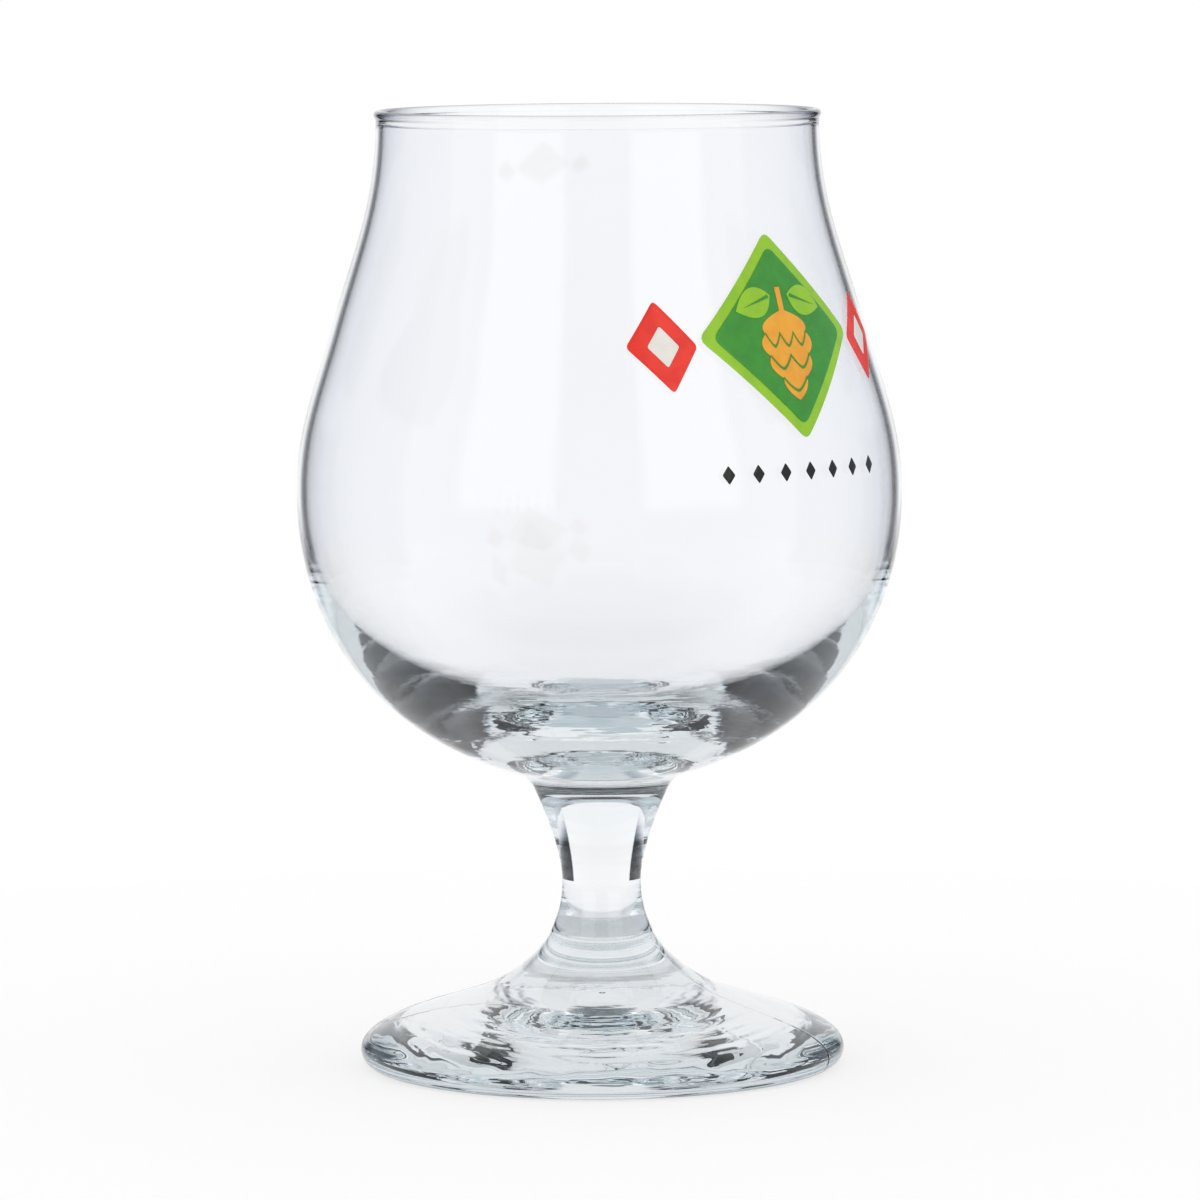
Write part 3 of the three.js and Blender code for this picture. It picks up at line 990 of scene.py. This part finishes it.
def floor_material():
    """White floor, which the thick glass sees with a painted shadow under the foot and dark below the flags.
    """
    material = bpy.data.materials.new("white_floor")
    tree = fresh_tree(material)
    place = own_place(tree)
    x, y, _ = axes_of(tree, place)
    away = length_of(tree, place)
    turn, flag = flag_share(tree, x, y)
    flag = product(tree, flag, spread(tree, away, FLAG_FLOOR_START * MM, FLAG_FLOOR_FULL * MM))
    in_thick_glass = product(tree, in_glass(tree), opposite(tree, plain_light(tree)))
    hidden = product(tree, flag, in_thick_glass, turned_back(tree, 2))
    # Painted shadow of the foot: the floor's glow is lowered under it, for the thick glass only
    shaded = spread(
        tree, away, FOOT_SHADE_START * MM, FOOT_SHADE_END * MM, FOOT_SHADE * FLOOR_GLOW, FLOOR_GLOW)
    level = number_mix(tree, in_thick_glass, FLOOR_GLOW, shaded)
    dim = product(tree, mirrored(tree), spread(tree, turn, FLAG_END, SOFTBOX_END))
    level = dimmed_by_flag(tree, flag, product(tree, level, opposite(tree, dim)))
    matt = add(tree, "ShaderNodeBsdfDiffuse", {}, {"Color": FLOOR_COLOUR}).outputs["BSDF"]
    white = add(tree, "ShaderNodeAddShader", {}, {0: matt, 1: white_glow(tree, level)}).outputs["Shader"]
    seen = add(tree, "ShaderNodeMixShader", {}, {0: hidden, 1: white, 2: white_glow(tree, FLAG_LIGHT)})
    finished(tree, seen.outputs["Shader"])
    return material


def studio_floor():
    around = np.linspace(0, 2 * math.pi, FLOOR_CORNERS, endpoint=False)
    edge = placed(np.full(FLOOR_CORNERS, FLOOR_RADIUS), around, np.full(FLOOR_CORNERS, -FLOOR_DROP))
    mesh = bpy.data.meshes.new("floor")
    mesh.from_pydata(edge * MM, [], [tuple(range(FLOOR_CORNERS))])
    mesh.materials.append(floor_material())
    floor = shown("floor", mesh)


def studio_world():
    """White surround for the camera and for plain light. The rest of the light sees a white back,
    dark flags, open sides and a front with two softboxes, under a top that is dim in the glass."""
    world = bpy.data.worlds.new("studio")
    bpy.context.scene.world = world
    tree = fresh_tree(world)
    direction = add(tree, "ShaderNodeTexCoord", {}, {}).outputs["Generated"]
    x, y, z = axes_of(tree, direction)
    turn, flag = flag_share(tree, x, y)
    flagged = product(tree, flag, under_flag_top(tree, z))
    above_low = spread(tree, z, FLAG_LOW_START, FLAG_LOW_FULL)
    glass = in_glass(tree)
    inside = maths(tree, "SUBTRACT", turned_back(tree, 1), mirrored(tree))
    back = number_mix(tree, inside, BACK_LIGHT, BACK_IN_GLASS)
    front = number_mix(tree, glass, FRONT_LIGHT, FRONT_IN_GLASS)
    front = number_mix(tree, mirrored(tree), front, FRONT_MIRRORED)
    front_share = spread(tree, turn, FLAG_END, SOFTBOX_END)
    low = dimmed_by_flag(tree, flag, number_mix(tree, front_share, BACK_LIGHT, front))
    top = number_mix(tree, glass, TOP_LIGHT, TOP_IN_GLASS)
    level = number_mix(tree, front_share, SIDE_LIGHT, front)
    level = number_mix(tree, spread(tree, turn, FLAG_START, FLAG_END), back, level)
    level = number_mix(tree, flagged, level, flag_level(tree, turn))
    level = number_mix(tree, above_low, low, level)
    level = number_mix(tree, softbox_share(tree, turn, z), level, SOFTBOX_LIGHT)
    level = number_mix(tree, spread(tree, z, TOP_START, TOP_FULL), level, top)
    under_plain_top = spread(tree, z, PLAIN_TOP_START, PLAIN_TOP_END, 1, 0)
    through_walls = product(tree, plain_light(tree), under_plain_top)
    plain = maths(tree, "MAXIMUM", light_path(tree)["Is Camera Ray"], through_walls)
    tinted = product(tree, flagged, above_low, opposite(tree, plain))
    glow = add(tree, "ShaderNodeBackground", {}, {
        "Color": blended(tree, tinted, STUDIO_WHITE, FLAG_TINT),
        "Strength": number_mix(tree, plain, level, 1)})
    add(tree, "ShaderNodeOutputWorld", {}, {"Surface": glow.outputs["Background"]})


def let_light_wander():
    """Light is turned back many times inside the thick heel and foot before it leaves them."""
    cycles = bpy.context.scene.cycles
    cycles.max_bounces = BOUNCES
    cycles.glossy_bounces = BOUNCES
    cycles.transmission_bounces = BOUNCES


def studio_camera():
    camera = bpy.data.cameras.new("camera")
    camera.sensor_width = SENSOR_WIDTH
    camera.lens = SENSOR_WIDTH * FOCAL_PIXELS / FRAME_PIXELS
    camera.clip_start = CAMERA_CLIP * MM
    holder = bpy.data.objects.new("camera", camera)
    bpy.context.scene.collection.objects.link(holder)
    holder.matrix_world = (
        Matrix.Translation((0, -CAMERA_DISTANCE * MM, CAMERA_HEIGHT * MM))
        @ Matrix.Rotation(math.radians(90 - CAMERA_PITCH), 4, "X")
        @ Matrix.Rotation(math.radians(CAMERA_ROLL), 4, "Z"))
    bpy.context.scene.camera = holder


studio_camera()
glass_pieces(glass_material(), weld_material())
print_pieces()
studio_floor()
studio_world()
let_light_wander()
bpy.context.scene.view_settings.view_transform = "Standard"
